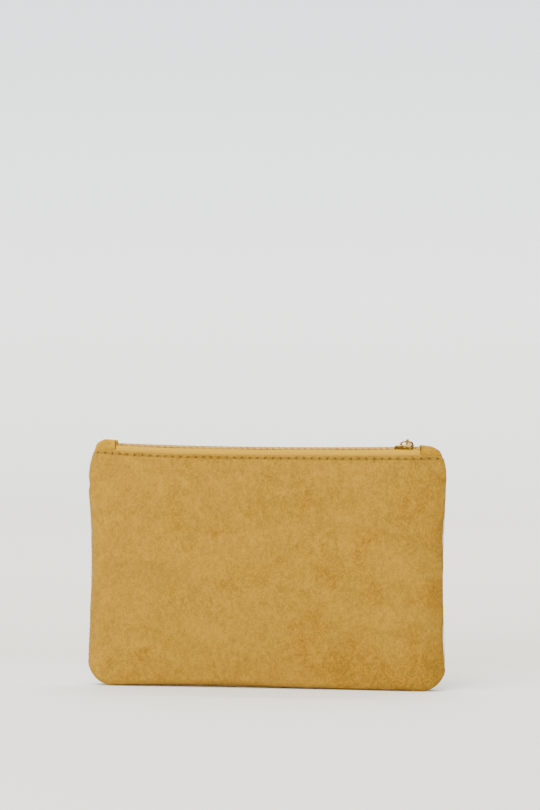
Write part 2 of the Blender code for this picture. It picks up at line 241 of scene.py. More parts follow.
def node(tree, kind, **values):
    return settle(tree.nodes.new(kind), **values)


def noise(tree, where, scale, detail=4.0, roughness=0.6, distortion=0.0):
    made = node(tree, "ShaderNodeTexNoise", Vector=where, Scale=scale, Detail=detail)
    return settle(made, Roughness=roughness, Distortion=distortion).outputs["Fac"]


def ramp(tree, factor, stops):
    """A colour ramp through (position, grey or colour) stops."""
    made = tree.nodes.new("ShaderNodeValToRGB")
    elements = made.color_ramp.elements
    while len(elements) < len(stops):
        elements.new(0.5)
    for element, (position, colour) in zip(elements, stops):
        element.position = position
        rgb = colour if isinstance(colour, tuple) else (colour,) * 3
        element.color = (*rgb, 1.0)
    return settle(made, Fac=factor).outputs["Color"]


def mix(tree, factor, first, second, blend="MIX"):
    if isinstance(second, tuple):
        second = (*second, 1.0)
    made = node(tree, "ShaderNodeMix", data_type="RGBA", blend_type=blend)
    return settle(made, Factor=factor, A=first, B=second).outputs["Result"]


def maths(tree, operation, first, second):
    made = node(tree, "ShaderNodeMath", operation=operation)
    for socket, value in zip(made.inputs, (first, second)):
        feed(socket, value)
    return made.outputs["Value"]


def split(tree, vector):
    """The X, Y and Z of a vector socket."""
    return node(tree, "ShaderNodeSeparateXYZ", Vector=vector).outputs


def scaled(tree, where, scale):
    return node(tree, "ShaderNodeMapping", Vector=where, Scale=scale).outputs["Vector"]


def bump(tree, height, strength, distance, below=None):
    made = node(tree, "ShaderNodeBump", Height=height, Strength=strength, Distance=distance)
    if below is not None:
        settle(made, Normal=below)
    return made.outputs["Normal"]


def own_place(tree):
    return tree.nodes.new("ShaderNodeTexCoord").outputs["Object"]


def weighed(tree, *parts):
    """The sum of several (value, weight) pairs."""
    total = None
    for value, weight in parts:
        share = maths(tree, "MULTIPLY", value, weight)
        total = share if total is None else maths(tree, "ADD", total, share)
    return total


def suede_material(name, dark, middle, light, patch_tint):
    """Napped faux suede: brushed patches over tufts and fine fibres, with a soft sheen. Patches which grow
    towards +X take a darker, warmer tint and show their tufts more. Stitch holes, which the mesh marks, get
    painted shade inside, and the channel between them a little."""
    made, tree, shader = new_material(name)
    where = own_place(tree)
    patches = noise(tree, scaled(tree, where, (0.8, 1.0, 1.1)), 85.0, 6.0, 0.66, 0.5)
    strokes = noise(tree, scaled(tree, where, (1.0, 1.0, 0.7)), 430.0, 5.0, 0.7, 0.3)
    tufts = noise(tree, scaled(tree, where, (1.0, 1.0, 0.8)), 1150.0, 4.0, 0.7, 0.2)
    shade = weighed(tree, (patches, 0.2), (strokes, 0.32), (tufts, 0.48))
    # patches that grow towards +X: a darker, warmer tint is multiplied in there and the tufts show more
    brushed = maths(tree, "MULTIPLY", split(tree, where)["X"], 0.9)
    patchy = maths(tree, "ADD", noise(tree, where, 38.0, 5.0, 0.62, 0.8), brushed)
    patchy = ramp(tree, patchy, [(0.5, 0.0), (0.68, 1.0)])
    lifted = maths(tree, "MULTIPLY", maths(tree, "SUBTRACT", tufts, 0.5), patchy)
    shade = maths(tree, "ADD", shade, maths(tree, "MULTIPLY", lifted, 0.5))
    colour = ramp(tree, shade, [(0.41, dark), (0.5, middle), (0.59, light)])
    colour = mix(tree, patchy, colour, patch_tint, "MULTIPLY")
    # painted shade: marked stitch holes, and faintly the channel between them, take a much darker colour
    painted_hole_shade = node(tree, "ShaderNodeAttribute", attribute_name="painted_hole_shade")
    colour = mix(tree, painted_hole_shade.outputs["Fac"], colour, tuple(0.42 * part for part in dark))
    pile = bump(tree, noise(tree, where, 1700.0, 6.0, 0.7), 0.6, 0.12 * MM)
    pebbles = bump(tree, noise(tree, where, 480.0, 5.0, 0.65, 0.3), 0.6, 0.22 * MM, pile)
    settle(shader, Base_Color=colour, Roughness=0.95, Specular_IOR_Level=0.1, Normal=pebbles)
    settle(shader, Sheen_Weight=0.1, Sheen_Roughness=0.5, Sheen_Tint=(1.0, 0.72, 0.35, 1.0))
    return made


def waves(tree, where, pitch, direction, distortion):
    """A Wave Texture with bands one pitch apart: at scale 1 they would be 2 pi / 20 apart."""
    made = node(tree, "ShaderNodeTexWave", bands_direction=direction, Vector=where)
    return settle(made, Scale=2 * math.pi / pitch / 20.0, Distortion=distortion)


def woven_material(name, thread, gap, pitch, roughness, strength):
    """Plain weave: warp and weft ribs crossing at a pitch, with uneven yarns."""
    made, tree, shader = new_material(name)
    where = own_place(tree)
    warp = settle(waves(tree, where, pitch, "X", 0.4), Detail=1.0)
    weft = settle(waves(tree, where, pitch, "Z", 0.4), Detail=1.0)
    ribs = maths(tree, "MULTIPLY", warp.outputs["Fac"], weft.outputs["Fac"])
    uneven = noise(tree, scaled(tree, where, (1.0, 1.0, 6.0)), 300.0, 3.0, 0.6)
    shade = weighed(tree, (ribs, 0.55), (uneven, 0.45))
    settle(shader, Base_Color=ramp(tree, shade, [(0.15, gap), (0.6, thread)]))
    settle(shader, Roughness=roughness, Specular_IOR_Level=0.15, Sheen_Weight=0.05, Sheen_Roughness=0.4)
    settle(shader, Normal=bump(tree, ribs, strength, 0.08 * MM))
    return made


def yarn_material(name, dark, light, pitch, roughness, gloss):
    """Twisted thread or moulded filament: slanting plies with a little variation along them."""
    made, tree, shader = new_material(name)
    where = own_place(tree)
    plies = waves(tree, where, pitch, "DIAGONAL", 0.6).outputs["Fac"]
    uneven = noise(tree, where, 700.0, 3.0, 0.6)
    shade = weighed(tree, (plies, 0.5), (uneven, 0.5))
    settle(shader, Base_Color=ramp(tree, shade, [(0.3, dark), (0.65, light)]))
    settle(shader, Roughness=roughness, Specular_IOR_Level=gloss)
    settle(shader, Normal=bump(tree, plies, 0.4, 0.05 * MM))
    return made


def gold_material(name, deep, bright, hollow_shade, wear):
    """Plated zinc: fine tumbling marks, dulled in patches, with a painted reflection that makes upright
    faces deeper in colour than faces that look along the object's own Z, and painted shade where the mesh
    is marked hollow."""
    made, tree, shader = new_material(name)
    where = own_place(tree)
    tarnish = noise(tree, where, 420.0, 5.0, 0.65, 0.4)
    marks = noise(tree, scaled(tree, where, (1.0, 1.0, 5.0)), 2600.0, 3.0, 0.6)
    hollow = node(tree, "ShaderNodeAttribute", attribute_name="hollow").outputs["Fac"]
    # painted reflection: faces that look along the object's own Z turn bright, upright faces deep in colour
    upwards = split(tree, tree.nodes.new("ShaderNodeTexCoord").outputs["Normal"])["Z"]
    painted_reflection = maths(tree, "MULTIPLY", upwards, upwards)
    tone = weighed(tree, (painted_reflection, 0.4), (tarnish, 0.6))
    colour = ramp(tree, tone, [(0.3, deep), (0.6, bright)])
    # painted shade: the marked hollows fade to a near-black colour
    colour = mix(tree, ramp(tree, hollow, [(0.52, 0.0), (0.66, 1.0)]), colour, hollow_shade)
    patchy = ramp(tree, marks, [(0.3, wear - 0.06), (0.75, wear + 0.1)])
    dented = bump(tree, marks, 0.12, 0.03 * MM)
    settle(shader, Base_Color=colour, Metallic=1.0, Roughness=patchy, Normal=dented)
    return made


SUEDE = suede_material(
    "suede",
    dark=(0.193, 0.099, 0.0095),
    middle=(0.26, 0.136, 0.0115),
    light=(0.328, 0.175, 0.0135),
    patch_tint=(0.875, 0.82, 0.64),
)
SUEDE_TAB = suede_material(
    "suede_tab",
    dark=(0.27, 0.138, 0.007),
    middle=(0.34, 0.178, 0.0085),
    light=(0.40, 0.213, 0.0105),
    patch_tint=(0.9, 0.85, 0.6),
)
TAPE = woven_material("zip_tape", (0.475, 0.270, 0.012), (0.38, 0.203, 0.007), 0.42 * MM, 0.7, 0.5)
LINING = woven_material("lining", (0.60, 0.46, 0.27), (0.44, 0.32, 0.17), 0.5 * MM, 0.7, 0.6)
INTERLINING = woven_material("interlining", (0.78, 0.76, 0.72), (0.62, 0.60, 0.56), 0.9 * MM, 0.9, 0.4)
COIL = yarn_material("nylon_coil", (0.38, 0.212, 0.024), (0.57, 0.35, 0.06), 1.6 * MM, 0.45, 0.3)
THREAD = yarn_material("thread", (0.19, 0.095, 0.010), (0.31, 0.17, 0.022), 0.35 * MM, 0.8, 0.1)
# near-black: the tacks are real stitches whose colour also paints the shade along each tab's inner edge
TACK_THREAD_AND_SHADE = yarn_material("tack_thread_and_shade", (0.055, 0.026, 0.005), (0.13, 0.062, 0.01), 0.35 * MM, 0.8, 0.1)
GOLD = gold_material(
    "gold_metal",
    # deep and bright span the tarnish and the painted reflection
    deep=(0.075, 0.035, 0.005),
    bright=(0.76, 0.48, 0.115),
    # painted shade colour for the hollows
    hollow_shade=(0.02, 0.009, 0.002),
    wear=0.2,
)


# ---- mesh helpers ----


def xyz(x, y, z):
    """Points from their coordinates, each an array or one number."""
    return np.stack(np.broadcast_arrays(x, y, z), axis=-1)


def in_scene(name, data):
    """A new object in the scene, showing the data."""
    made = bpy.data.objects.new(name, data)
    bpy.context.scene.collection.objects.link(made)
    return made


def new_piece(name, points, faces, material, sharp=60):
    """A smooth-shaded mesh object; edges that turn by more than sharp degrees stay crisp."""
    data = bpy.data.meshes.new(name)
    data.from_pydata(np.asarray(points).tolist(), [], [tuple(map(int, face)) for face in faces])
    body = bmesh.new()
    body.from_mesh(data)
    bmesh.ops.recalc_face_normals(body, faces=body.faces[:])
    body.to_mesh(data)
    body.free()
    data.shade_smooth()
    data.set_sharp_from_angle(angle=math.radians(sharp))
    data.materials.append(material)
    return in_scene(name, data)


def net_quads(net):
    """The faces between neighbours in a rows x columns net of point numbers."""
    return np.stack([net[:-1, :-1], net[:-1, 1:], net[1:, 1:], net[1:, :-1]], -1).reshape(-1, 4).tolist()


def shell(loops):
    """Points and faces of a closed shell. loops is rows x columns x 3: its rows run up the outside of the
    layer, over its top edge and down the inside, and the last row joins the first. Each end is filled."""
    rows, columns = loops.shape[:2]
    index = np.arange(rows * columns).reshape(rows, columns)
    faces = net_quads(np.vstack([index, index[:1]]))
    for column in (0, columns - 1):
        end = index[:, column]
        for i in range(rows // 2 - 1):
            faces.append([end[i], end[i + 1], end[rows - 2 - i], end[rows - 1 - i]])
    return loops.reshape(-1, 3), faces


def thin_piece(name, outer, inner, material):
    """A closed sheet between its outer and its inner face, each rows x columns x 3."""
    return new_piece(name, *shell(np.concatenate([outer, inner[::-1]])), material, sharp=75)


def tube(path, radius, sides, closed=False):
    """Points and faces of a round bar along a path, with flat ends unless it is closed on itself."""
    path = np.asarray(path, float)
    count = len(path)
    if closed:
        along = np.roll(path, -1, axis=0) - np.roll(path, 1, axis=0)
    else:
        along = np.gradient(path, axis=0)
    along /= np.linalg.norm(along, axis=1)[:, None]
    radii = np.broadcast_to(np.asarray(radius, float), (count,))
    across = np.cross(along[0], (0.0, 0.0, 1.0) if abs(along[0][2]) < 0.9 else (1.0, 0.0, 0.0))
    turns = np.linspace(0, 2 * math.pi, sides, endpoint=False)
    points = []
    for place, forward, thick in zip(path, along, radii):
        across = across - forward * np.dot(across, forward)
        across = across / np.linalg.norm(across)
        up = np.cross(forward, across)
        points.append(place + thick * (np.outer(np.cos(turns), across) + np.outer(np.sin(turns), up)))
    faces = []
    for i in range(count if closed else count - 1):
        here, there = i * sides, (i + 1) % count * sides
        for k in range(sides):
            after = (k + 1) % sides
            faces.append([here + k, here + after, there + after, there + k])
    if not closed:
        faces.append(list(range(sides))[::-1])
        faces.append([(count - 1) * sides + k for k in range(sides)])
    return np.concatenate(points), faces


def joined(parts):
    """Points and faces of several (points, faces) pairs as one."""
    points, faces, before = [], [], 0
    for some, ways in parts:
        points.append(np.asarray(some))
        faces += [[before + k for k in way] for way in ways]
        before += len(some)
    return np.concatenate(points), faces


def towards(start, end, share):
    return tuple(a + (b - a) * share for a, b in zip(start, end))


def rounded(corners, radius, steps=8):
    """The outline with each corner replaced by a curve that leaves its sides at the given distance."""
    points = []
    for i, corner in enumerate(corners):
        before, after = corners[i - 1], corners[(i + 1) % len(corners)]
        start = towards(corner, before, radius / math.dist(corner, before))
        end = towards(corner, after, radius / math.dist(corner, after))
        for k in range(steps + 1):
            share = k / steps
            points.append(towards(towards(start, corner, share), towards(corner, end, share), share))
    return points


def taper(half_x, left_half_y, right_half_y):
    """The corners of a plate that is symmetric in Y and changes width from left to right."""
    return [
        (-half_x, -left_half_y),
        (half_x, -right_half_y),
        (half_x, right_half_y),
        (-half_x, left_half_y),
    ]


def slab(outline, low, high):
    """Points and faces of an outline in X and Y, drawn out from low to high in Z."""
    count = len(outline)
    points = [(x, y, z) for z in (low, high) for x, y in outline]
    faces = [list(range(count))[::-1], list(range(count, 2 * count))]
    for i in range(count):
        after = (i + 1) % count
        faces.append([i, after, count + after, count + i])
    return points, faces


def apply_modifiers(piece):
    graph = bpy.context.evaluated_depsgraph_get()
    data = bpy.data.meshes.new_from_object(piece.evaluated_get(graph))
    piece.modifiers.clear()
    old = piece.data
    piece.data = data
    bpy.data.meshes.remove(old)


def cast(name, solids, cuts, material, grain, rounds):
    """One casting: the solids together, less the cuts, with every edge softened as a mould leaves it."""
    piece = new_piece(name, *joined(solids), material)
    settle(piece.modifiers.new("Fuse", "REMESH"), mode="VOXEL", voxel_size=grain)
    tools = []
    for i, cut in enumerate(cuts):
        tool = new_piece(f"{name}_cutter_{i}", *cut, material)
        settle(piece.modifiers.new(f"Cut {i}", "BOOLEAN"), operation="DIFFERENCE", object=tool)
        tools.append(tool)
    if cuts:
        settle(piece.modifiers.new("Fuse again", "REMESH"), mode="VOXEL", voxel_size=grain)
    settle(piece.modifiers.new("Soften", "SMOOTH"), factor=0.5, iterations=rounds)
    apply_modifiers(piece)
    for tool in tools:
        bpy.data.objects.remove(tool)
    piece.data.shade_smooth()
    mark_hollows(piece.data)
    return piece


def values_of(items, key, width=3, kind=float):
    """One property of all of a mesh's points or edges, as a count x width array."""
    values = np.zeros(len(items) * width, kind)
    items.foreach_get(key, values)
    return values.reshape(-1, width)


def mark_hollows(data):
    """Marks each point from 0, on a ridge, to 1, in a hollow, for a material to darken with painted shade.
    """
    points, normals = values_of(data.vertices, "co"), values_of(data.vertices, "normal")
    first, second = values_of(data.edges, "vertices", 2, int).T
    around = np.zeros(len(points))
    np.add.at(around, first, 1)
    np.add.at(around, second, 1)

    def spread(values):
        total = np.zeros_like(values)
        np.add.at(total, first, values[second])
        np.add.at(total, second, values[first])
        return total / (around if values.ndim == 1 else around[:, None])

    gap = np.linalg.norm(points[first] - points[second], axis=1).mean()
    bend = ((spread(points) - points) * normals).sum(axis=1) / gap
    for _ in range(3):
        bend = 0.5 * bend + 0.5 * spread(bend)
    hollow = np.clip(0.5 + 5.0 * bend, 0, 1).astype(np.float32)
    data.attributes.new("hollow", "FLOAT", "POINT").data.foreach_set("value", hollow)


def stand_for(piece, node, body=None):
    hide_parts(node)
    if body is not None:
        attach(piece, body)


# ---- cloth ----

# A layer's rows are numbered 0 to 1 over the base, 1 to 2 round the crease and 2 to 3 up the wall.


def layer_point(x, row, offset, drop):
    """Depth and height of a layer at x and row; arrays of the same shape go in and come out."""
    low = bottom_edge(x, offset)
    foot = low + CREASE - offset
    out = np.clip(row, 0, 1)
    base = SEAM_DEPTH + (rolled(BASE_DEPTH, x, offset) - SEAM_DEPTH) * out
    base_z = low - base_lift(x) * (1 - out)
    angle = math.pi / 2 * np.clip(row - 1, 0, 1)
    crease_depth = BASE_DEPTH + (full_depth(foot, offset) - BASE_DEPTH) * np.sin(angle)
    crease_z = foot - (CREASE - offset) * np.cos(angle)
    share = np.clip(row - 2, 0, 1)
    wall_z = foot + (top_edge(x) - drop - foot) * share
    upper_depth = np.where(row <= 2, rolled(crease_depth, x, offset), wall_depth(x, wall_z, offset))
    upper_z = np.where(row <= 2, crease_z, wall_z)
    return np.where(row <= 1, base, upper_depth), np.where(row <= 1, base_z, upper_z)


NET_COLUMNS = 84
NET_BASE_ROWS = 6
NET_WALL_ROWS = 53
CLOTH_FRAMES = 20
CLOTH_GIVE = 1.1 * MM


def swell(give):
    """Cloth simulation of the closed, lightly filled pouch. Returns the columns and rows of a net of the
    walls and, for the front and the back, how far each of its points moves, always less than give."""
    across = np.linspace(-1, 1, NET_COLUMNS + 1)
    rows = np.concatenate([np.linspace(0, 2, NET_BASE_ROWS + 1)[:-1], np.linspace(2, 3, NET_WALL_ROWS)])
    u, row = np.meshgrid(across, rows)
    x = HALF_WIDTH * np.sin(math.pi / 2 * u)
    depth, z = layer_point(x, row, 0.0, 0.0)
    nets = [xyz(waisted(x, z), side * depth, z) for side in (FRONT, BACK)]
    high, wide = u.shape
    index = np.arange(2 * high * wide).reshape(2, high, wide)
    faces = []
    for net in index:
        faces += net_quads(net)
    front, back = index
    for edge in (np.s_[-1], np.s_[0], np.s_[:, 0], np.s_[:, -1]):
        faces += net_quads(np.stack([front[edge], back[edge]]))
    points = np.concatenate([net.reshape(-1, 3) for net in nets])
    balloon = new_piece("balloon", points, faces, SUEDE)
    held = balloon.vertex_groups.new(name="held")
    sewn = (row > 2.97) | (row < 1.0) | (np.abs(u) > 0.985)
    held.add([int(k) for k in index[:, sewn].ravel()], 1.0, "REPLACE")
    cloth = balloon.modifiers.new("Cloth", "CLOTH")
    settle(
        cloth.settings,
        quality=6,
        mass=0.25,
        tension_stiffness=18.0,
        compression_stiffness=12.0,
        shear_stiffness=6.0,
        bending_stiffness=0.6,
        shrink_min=-0.012,
        use_pressure=True,
        uniform_pressure_force=4.0,
        vertex_group_mass="held",
    )
    cloth.settings.effector_weights.gravity = 0.0
    settle(cloth.point_cache, frame_start=1, frame_end=CLOTH_FRAMES)
    scene = bpy.context.scene
    for frame_number in range(1, CLOTH_FRAMES + 1):
        scene.frame_set(frame_number)
    apply_modifiers(balloon)
    moves = values_of(balloon.data.vertices, "co") - points
    scene.frame_set(1)
    bpy.data.objects.remove(balloon)
    moves = moves / (1 + np.linalg.norm(moves, axis=1)[:, None] / give)
    halves = moves.reshape(2, high, wide, 3)
    return across, rows, {FRONT: halves[0], BACK: halves[1]}


SWELLING = swell(CLOTH_GIVE)


def cloth_give(side, x, row):
    """The simulated movement at any x and row of one wall, read between the net's points."""
    across, rows, moves = SWELLING
    u = 2 / math.pi * np.arcsin(np.clip(x / HALF_WIDTH, -1, 1))
    column = np.clip((u + 1) / 2 * (len(across) - 1), 0, len(across) - 1.001)
    line = np.interp(row, rows, np.arange(len(rows)))
    line = np.clip(line, 0, len(rows) - 1.001)
    i, j = line.astype(int), column.astype(int)
    down, over = (line - i)[..., None], (column - j)[..., None]
    net = moves[side]
    low = net[i, j] * (1 - over) + net[i, j + 1] * over
    high = net[i + 1, j] * (1 - over) + net[i + 1, j + 1] * over
    return low * (1 - down) + high * down


# ---- walls ----

STITCH_COUNT = int(STITCH_REACH / STITCH_PITCH)
HOLES = STITCH_PITCH * np.arange(-STITCH_COUNT, STITCH_COUNT + 1)
HOLE_WIDE = 0.52 * MM  # how far a hole's pull spreads along the row, and across it
HOLE_HIGH = 0.38 * MM
HOLE_DEPTH = 0.6 * MM
OUTLINE_WAVER = 0.22 * MM
CHANNEL_HIGH = 0.55 * MM
CHANNEL_DEPTH = 0.13 * MM
EDGE_ROWS = 0.015  # over this share of the wall its top edge dips at each hole
EDGE_DIP = 0.07 * MM
CALM_ROWS = 0.09  # over this share of the wall the simulated movement dies out towards the zip
SEAM_GROOVE = 0.5 * MM
SEAM_WIDTH = 0.75 * MM
SEAM_THREAD = 0.13 * MM
SEAM_PITCH = 2.6 * MM
SEAM_SWING = 0.32 * MM


def stitched_columns():
    """Columns close together round each stitch hole and towards the side seams."""
    beside = np.array([0.0, 0.18, 0.36, 0.6, 0.95, 1.4]) * MM
    steps = np.concatenate([-beside[:0:-1], beside, [STITCH_PITCH / 2]])
    middle = (HOLES[:, None] + steps[None, :]).ravel()
    edge = middle.max()
    outer = edge + (HALF_WIDTH - edge) * np.sin(math.pi / 2 * np.linspace(0, 1, 15)[1:])
    return np.unique(np.round(np.concatenate([-outer, middle, outer]), 7))


WALL_ROWS = 46
# How far below the top edge the closest rows lie: the stitches stand among the last of them
ROWS_BELOW_TOP = MM * np.array(
    [13, 11, 9.2, 7.6, 6.2, 5, 4, 3.2, 2.6, 2.1, 1.75, 1.5, 1.3, 1.15, 1, 0.85, 0.7, 0.5, 0.25, 0]
)


def wall_rows():
    """Rows over the base, round the crease and up the wall, closest together at the top edge."""
    base = np.array([0.0, 0.04, 0.09, 0.16, 0.26, 0.45, 0.7])
    crease = 1 + np.linspace(0, 1, 9)[:-1]
    upper = 3 - ROWS_BELOW_TOP / (TOP_EDGE - CREASE)
    wall = np.linspace(2, upper[0], WALL_ROWS)[:-1]
    return np.concatenate([base, crease, wall, upper])


def groove_inward(x, z, depth):
    """How the closing seam draws the outline in, as x and z moves, where a layer nears the seam."""
    radius = pick(CORNER, x)
    ahead = np.maximum(np.abs(x) - (HALF_WIDTH - radius), 0.0)
    below = np.maximum(radius - z, 0.0)
    length = np.maximum(np.hypot(ahead, below), 1e-9)
    pull = SEAM_GROOVE * np.exp(-((depth / SEAM_WIDTH) ** 2))
    outward_x = np.where(below <= 0, 1.0, ahead / length)
    outward_z = np.where(below <= 0, 0.0, below / length)
    return np.where(x < 0, 1, -1) * pull * outward_x, pull * outward_z


def stitch_pull(x, z):
    """Share from 0 to 1 of a stitch hole's depth at a point, and of the shallow channel between holes, and
    how far off the nearest hole is along the row."""
    line = top_edge(x) - STITCH_DROP
    off = x[..., None] - HOLES
    nearest = np.abs(off).min(axis=-1)
    above = z - line
    hole = np.exp(-((nearest / HOLE_WIDE) ** 2) - (above / HOLE_HIGH) ** 2)
    channel = np.exp(-((above / CHANNEL_HIGH) ** 2)) * (np.abs(x) < HOLES.max() + MM)
    return hole, channel, nearest


def suede_sheet(side, x, row, offset):
    """Points of the suede's outer face, at offset 0, or its inner face, which the stitches dent less."""
    depth, z = layer_point(x, row, offset, 0.0)
    wide = waisted(x, z)
    hole, channel, nearest = stitch_pull(x, z)
    puffed = 0.5 - 0.5 * np.cos(2 * math.pi * nearest / STITCH_PITCH)
    dent = (0.5 if offset else 1.0) * HOLE_DEPTH * hole
    edge = np.clip(row - (3 - EDGE_ROWS), 0, 1) / EDGE_ROWS
    depth = depth - dent - CHANNEL_DEPTH * channel * (1 - 0.5 * puffed)
    z = z - EDGE_DIP * edge * (1 - puffed)
    move_x, move_z = groove_inward(x, z, depth)
    points = xyz(wide + move_x, side * depth, z + move_z)
    calm = np.clip((3 - row) / CALM_ROWS, 0, 1)[..., None]
    points = points + cloth_give(side, x, row) * calm
    points[..., 2] = np.maximum(points[..., 2], 0.5 * offset)
    return points


def uneven_outline(x, z):
    """The slight waver of a hand-turned outline, as a sideways move that fades towards the middle."""
    phase = np.where(x < 0, 0.6, 2.1)
    waver = np.sin(z / (9.5 * MM) + phase) + 0.7 * np.sin(z / (4.1 * MM) + 2.3 * phase)
    return OUTLINE_WAVER * waver * (np.abs(x) / HALF_WIDTH) ** 6


def suede_panel(name, side, low_x, high_x):
    columns = stitched_columns()
    columns = columns[(columns >= low_x - NEARLY) & (columns <= high_x + NEARLY)]
    rows = wall_rows()
    x, row = np.meshgrid(columns, rows)
    outer = suede_sheet(side, x, row, 0.0)
    reach = (HALF_WIDTH - SUEDE_THICK) / HALF_WIDTH
    inner = suede_sheet(side, x * reach, row, SUEDE_THICK)
    fold = []
    middle, half = (outer[-1] + inner[-1]) / 2, (outer[-1] - inner[-1]) / 2
    lift = np.linalg.norm(half, axis=-1)[:, None] * np.array([0.0, 0.0, 1.0])
    for angle in np.linspace(0, math.pi, 8)[1:-1]:
        fold.append(middle + half * math.cos(angle) + lift * math.sin(angle))
    loops = np.concatenate([outer, np.array(fold), inner[::-1]])
    loops[..., 0] += uneven_outline(loops[..., 0], loops[..., 2])
    panel = new_piece(name, *shell(loops), SUEDE, sharp=75)
    hole, channel, _ = stitch_pull(x, layer_point(x, row, 0.0, 0.0)[1])
    # painted shade for the stitch holes, and faintly along the channel between them
    shade = np.zeros(loops.shape[:2])
    shade[: len(rows)] = np.clip(hole**0.5 + 0.12 * channel, 0, 1)
    mark = panel.data.attributes.new("painted_hole_shade", "FLOAT", "POINT")
    mark.data.foreach_set("value", shade.ravel().astype(np.float32))
    return panel


def interlining(name, side, low_x, high_x):
    sheet = (INTERLINING_OFFSET, INTERLINING_THICK, INTERLINING_DROP)
    return inner_layer(name, side, low_x, high_x, *sheet, INTERLINING)


def lining(name, side, low_x, high_x):
    sheet = (LINING_OFFSET, LINING_THICK, LINING_DROP)
    return inner_layer(name, side, low_x, high_x, *sheet, LINING)


def inner_layer(name, side, low_x, high_x, offset, thickness, drop, material):
    """A thin sheet inside the suede, following the same shape."""
    reach = HALF_WIDTH - offset
    count = int((high_x - low_x) / INNER_SPACING)
    columns = reach * np.sin(math.pi / 2 * np.linspace(low_x / HALF_WIDTH, high_x / HALF_WIDTH, count))
    rows = np.concatenate([np.linspace(0, 1, 4)[:-1], np.linspace(1, 2, 6)[:-1], np.linspace(2, 3, 50)])
    x, row = np.meshgrid(columns, rows)
    faces = []
    for depth_in in (0.0, thickness):
        narrow = (reach - depth_in) / reach
        depth, z = layer_point(x * narrow, row, offset + depth_in, drop)
        faces.append(xyz(waisted(x * narrow, z), side * depth, z) + cloth_give(side, x, row))
    return thin_piece(name, *faces, material)


# ---- zip ----


def tape_point(x, row, offset):
    """Depth and height of the tape: row 0 to 1 behind the suede, 1 to 2 over to the coil. It stands up
    steeply behind the suede's edge to a soft crest and dips under the coil."""
    edge = top_edge(x)
    hidden_z = edge - TAPE_HIDDEN * (1 - np.clip(row, 0, 1))
    over = np.clip(row - 1, 0, 1)
    angle = math.pi / 2 * over
    start = wall_depth(x, edge, TAPE_OFFSET)
    inner = np.minimum(coil_y(x) - TAPE_INNER, 0.6 * start)
    rise = chain_height(x) - TAPE_UNDER_COIL - edge
    crest = TAPE_CREST * np.exp(-(((over - 0.45) / 0.17) ** 2))
    shown_depth = inner + (start - inner) * np.cos(angle)
    depth = np.where(row <= 1, wall_depth(x, hidden_z, TAPE_OFFSET), shown_depth)
    z = np.where(row <= 1, hidden_z, edge + rise * np.sin(angle) ** 0.7 + crest)
    return depth - offset * (1 - over), z - offset * over


def zip_tape(name, side, low_x, high_x):
    low, high = max(low_x, -TAPE_REACH[-1]), min(high_x, TAPE_REACH[1])
    columns = np.linspace(low, high, int((high - low) / TAPE_SPACING))
    rows = np.concatenate([np.linspace(0, 1, 7)[:-1], np.linspace(1, 2, 17)])
    x, row = np.meshgrid(columns, rows)
    faces = []
    for offset in (0.0, TAPE_THICK):
        depth, z = tape_point(x, row, offset)
        near_edge = np.clip(1 - np.abs(row - 1.1) / 0.3, 0, 1)
        ripple = TAPE_RIPPLE * np.sin(2 * math.pi * x / STITCH_PITCH) * near_edge
        slack = TAPE_SLACK * np.sin(x / (7.3 * MM) + side) * np.sin(math.pi * np.clip(row - 1, 0, 1))
        faces.append(xyz(x, side * (depth + ripple), z + slack))
    return thin_piece(name, *faces, TAPE)


COIL_PITCH = 1.45 * MM
COIL_LEAN = 0.18 * COIL_PITCH
COIL_WIRE = 0.24 * MM
COIL_CORE = 0.42 * MM
COIL_THREAD = 0.11 * MM
COIL_THREADS_OUT = (0.15 * MM, 0.55 * MM)  # how far out from the coil's centre its two threads run
COIL_OVERLAP = 0.22 * MM  # how far each loop reaches past the middle plane, between the other side's loops


def zip_coil(name, side, low_x, high_x):
    """One nylon coil round its core: flattened loops whose heads reach between the other coil's, sewn down
    with two threads."""
    start, end = max(COIL_TAILS[0], low_x), min(COIL_TAILS[1], high_x)
    shift = 0.0 if side == FRONT else 0.5
    first = math.ceil(start / COIL_PITCH - shift)
    last = math.floor(end / COIL_PITCH - shift)
    steps = 14
    turn = np.arange(first * steps, last * steps + 1) / steps
    x = (turn + shift) * COIL_PITCH
    angle = 2 * math.pi * turn
    reach = COIL_RADIUS - COIL_WIRE
    meshed = 1 - smooth_step(SLIDER_X - 4 * MM, SLIDER_X, x)
    inward = reach + (COIL_SPACING - COIL_RADIUS + COIL_OVERLAP) * meshed * (0.5 - 0.5 * np.cos(angle))
    centre = coil_y(x)
    y = centre + np.cos(angle) * inward * np.where(np.cos(angle) < 0, 1.0, reach / inward)
    z = chain_height(x) + reach * np.sin(angle)
    lean = COIL_LEAN * np.sin(2 * angle)
    coil = tube(xyz(x + lean, side * y, z), COIL_WIRE, sides=7)
    along = np.arange(start, end, COIL_PITCH / 6)
    core = tube(xyz(along, side * coil_y(along), chain_height(along)), COIL_CORE, sides=10)
    parts = [coil, core]
    for out in COIL_THREADS_OUT:
        wave = np.sin(2 * math.pi * along / COIL_PITCH + out / MM)
        top = COIL_RADIUS * np.sqrt(np.clip(1 - (out / COIL_RADIUS) ** 2, 0, 1))
        lift = top + 0.02 * MM + 0.07 * MM * wave
        path = xyz(along, side * (coil_y(along) + out), chain_height(along) + lift)
        parts.append(tube(path, COIL_THREAD, sides=6))
    return new_piece(name, *joined(parts), COIL)


# ---- threads ----


